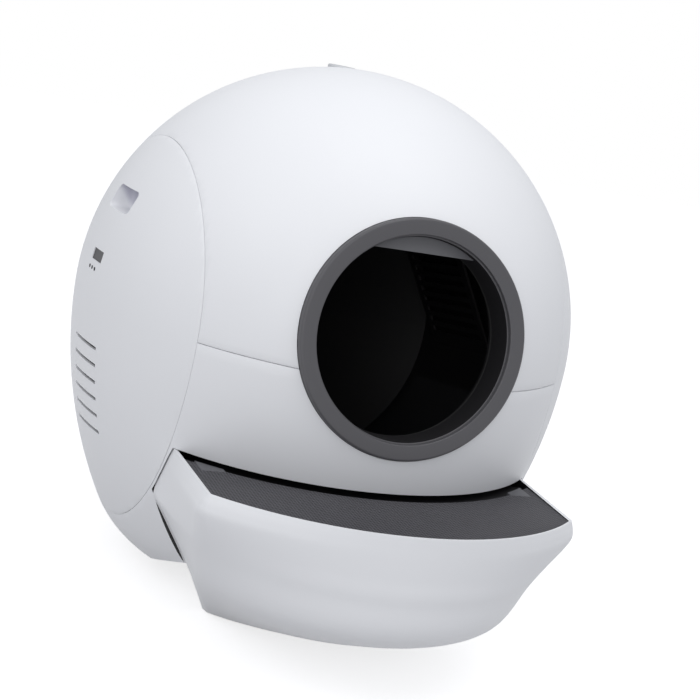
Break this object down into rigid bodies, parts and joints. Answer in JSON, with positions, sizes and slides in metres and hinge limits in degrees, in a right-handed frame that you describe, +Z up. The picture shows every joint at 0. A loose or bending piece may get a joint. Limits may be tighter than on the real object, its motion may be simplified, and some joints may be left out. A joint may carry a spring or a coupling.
{
  "type": "self cleaning litter box",
  "caption": "Ball-shaped self cleaning litter box with a tilted round entrance, a turning litter drum and a slide-out waste drawer whose flared front is a step with a mat.",
  "frame": {"origin": "on the floor under the middle of the whole box, under its feet", "axes": "+Z up, the entrance and the step tray face -Y, +X to the right seen from the front"},
  "size_m": [0.56, 0.6665, 0.581],
  "materials": {
    "white_shell": "satin moulded white",
    "white_tray": "satin moulded white",
    "dark_trim": "fine matt dark grey",
    "visor_grey": "matt grey",
    "mat_rubber": "perforated dark grey",
    "drum_plastic": "matt black",
    "liner_rubber": "soft matt",
    "knob_grey": "light grey",
    "screen": "smoked",
    "grey_plastic": "matt grey",
    "board_green": "circuit board",
    "steel": "bright zinc",
    "gear_white": "natural acetal",
    "motor_metal": "grey",
    "bin_plastic": "matt grey",
    "black_rubber": "black"
  },
  "bodies": {
    "housing": {"lower_shell": "white_shell", "base_plate": "grey_plastic", "load_cells": "steel", "rubber_feet": "black_rubber", "power_inlet": "black_rubber", "cover_screws": "steel", "left_cover": "white_shell", "left_inner_panel": "grey_plastic", "left_grip_pocket": "grey_plastic", "right_cover": "white_shell", "right_inner_panel": "grey_plastic", "right_grip_pocket": "grey_plastic", "display_window": "screen", "display_board": "board_green", "control_board": "board_green", "fan_housing": "grey_plastic", "gear_motor": "motor_metal", "drum_cradle": "drum_plastic", "drum_bearing": "drum_plastic", "roller_axles": "steel"},
    "top_cover": {"upper_shell": "white_shell", "entry_bezel": "dark_trim", "sensor_visor": "visor_grey", "sensor_board": "board_green", "throat_seal": "black_rubber"},
    "release_knob": {"release_knob": "knob_grey"},
    "drum": {"drum_front": "drum_plastic", "drum_rear": "drum_plastic", "drum_gear": "gear_white", "litter_liner": "liner_rubber", "sifter_screen": "drum_plastic", "drum_clips": "drum_plastic"},
    "pinion": {"drive_pinion": "gear_white"},
    "front_left_roller": {"front_left_roller": "gear_white"},
    "front_right_roller": {"front_right_roller": "gear_white"},
    "rear_left_roller": {"rear_left_roller": "gear_white"},
    "rear_right_roller": {"rear_right_roller": "gear_white"},
    "fan": {"fan_impeller": "grey_plastic"},
    "drawer": {"drawer_front": "white_tray", "waste_bin": "bin_plastic", "bag_clamp_ring": "bin_plastic", "step_deck": "grey_plastic", "deodorizer_box": "grey_plastic"},
    "step_mat": {"step_mat": "mat_rubber"},
    "key_1": {"control_key_1": "black_rubber"},
    "key_2": {"control_key_2": "black_rubber"},
    "key_3": {"control_key_3": "black_rubber"}
  },
  "joints": [
    {"name": "top_cover_lift", "type": "slide", "parent": "housing", "child": "top_cover", "axis": [0, 0, 1], "range_m": [0, 0.3]},
    {"name": "knob_press", "type": "slide", "parent": "top_cover", "child": "release_knob", "axis": [0, 0, -1], "range_m": [0, 0.004], "stiffness_N_per_m": 400, "springref_m": -0.002},
    {"name": "drum_turn", "type": "hinge", "parent": "housing", "child": "drum", "pos_m": [0, 0.05335, 0.301], "axis": [0, -0.9871, 0.1599], "continuous": true},
    {"name": "pinion_spin", "type": "hinge", "parent": "housing", "child": "pinion", "pos_m": [0.21578, 0.03812, 0.257], "axis": [0, -0.9871, 0.1599], "continuous": true},
    {"name": "front_left_roller_spin", "type": "hinge", "parent": "housing", "child": "front_left_roller", "pos_m": [-0.12147, -0.06825, 0.16319], "axis": [0, -0.9871, 0.1599], "continuous": true},
    {"name": "front_right_roller_spin", "type": "hinge", "parent": "housing", "child": "front_right_roller", "pos_m": [0.12147, -0.06825, 0.16319], "axis": [0, -0.9871, 0.1599], "continuous": true},
    {"name": "rear_left_roller_spin", "type": "hinge", "parent": "housing", "child": "rear_left_roller", "pos_m": [-0.12147, 0.12523, 0.13186], "axis": [0, -0.9871, 0.1599], "continuous": true},
    {"name": "rear_right_roller_spin", "type": "hinge", "parent": "housing", "child": "rear_right_roller", "pos_m": [0.12147, 0.12523, 0.13186], "axis": [0, -0.9871, 0.1599], "continuous": true},
    {"name": "fan_spin", "type": "hinge", "parent": "housing", "child": "fan", "pos_m": [-0.218, 0.01335, 0.207], "axis": [1, 0, 0], "continuous": true},
    {"name": "drawer_slide", "type": "slide", "parent": "housing", "child": "drawer", "axis": [0, -1, 0], "range_m": [0, 0.27]},
    {"name": "mat_lift", "type": "slide", "parent": "drawer", "child": "step_mat", "axis": [0, -0.18, 0.9837], "range_m": [0, 0.1]},
    {"name": "key_1_press", "type": "slide", "parent": "housing", "child": "key_1", "axis": [1, 0, 0], "range_m": [0, 0.0008], "stiffness_N_per_m": 500, "springref_m": -0.0005},
    {"name": "key_2_press", "type": "slide", "parent": "housing", "child": "key_2", "axis": [1, 0, 0], "range_m": [0, 0.0008], "stiffness_N_per_m": 500, "springref_m": -0.0005},
    {"name": "key_3_press", "type": "slide", "parent": "housing", "child": "key_3", "axis": [1, 0, 0], "range_m": [0, 0.0008], "stiffness_N_per_m": 500, "springref_m": -0.0005}
  ],
  "couplings": [
    {"joint": "pinion_spin", "follows": "drum_turn", "ratio": -6.8571},
    {"joint": "front_left_roller_spin", "follows": "drum_turn", "ratio": -14.154},
    {"joint": "front_right_roller_spin", "follows": "drum_turn", "ratio": -14.154},
    {"joint": "rear_left_roller_spin", "follows": "drum_turn", "ratio": -14.154},
    {"joint": "rear_right_roller_spin", "follows": "drum_turn", "ratio": -14.154}
  ]
}
